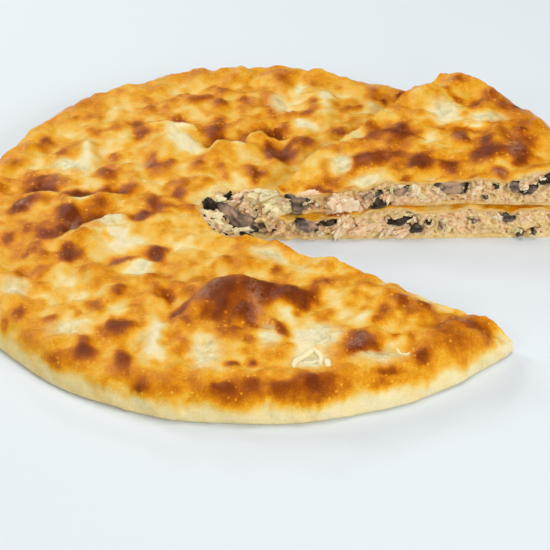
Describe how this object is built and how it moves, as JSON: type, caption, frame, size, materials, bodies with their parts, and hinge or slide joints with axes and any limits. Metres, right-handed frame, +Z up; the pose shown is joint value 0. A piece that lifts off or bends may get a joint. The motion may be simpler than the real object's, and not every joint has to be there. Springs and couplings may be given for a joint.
{
  "type": "ossetian pie",
  "caption": "Flat round filled bread pie with browned, blistered crust, one wedge cut out and laid back on top, showing mushroom, chicken and cheese filling.",
  "frame": {"origin": "centre of the round pie's underside", "axes": "+Z up out of the pie, +X along the cut towards the rim, +Y towards the back, with the gap opening towards +X and -Y"},
  "size_m": [0.3411, 0.3248, 0.0403],
  "materials": {
    "crust": "baked, buttered dough, golden with brown blisters",
    "filling": "moist cheese, chicken and mushroom filling"
  },
  "bodies": {
    "root": {"pie_crust": "crust", "pie_filling": "filling", "slice_crust": "crust", "slice_filling": "filling"}
  },
  "joints": []
}
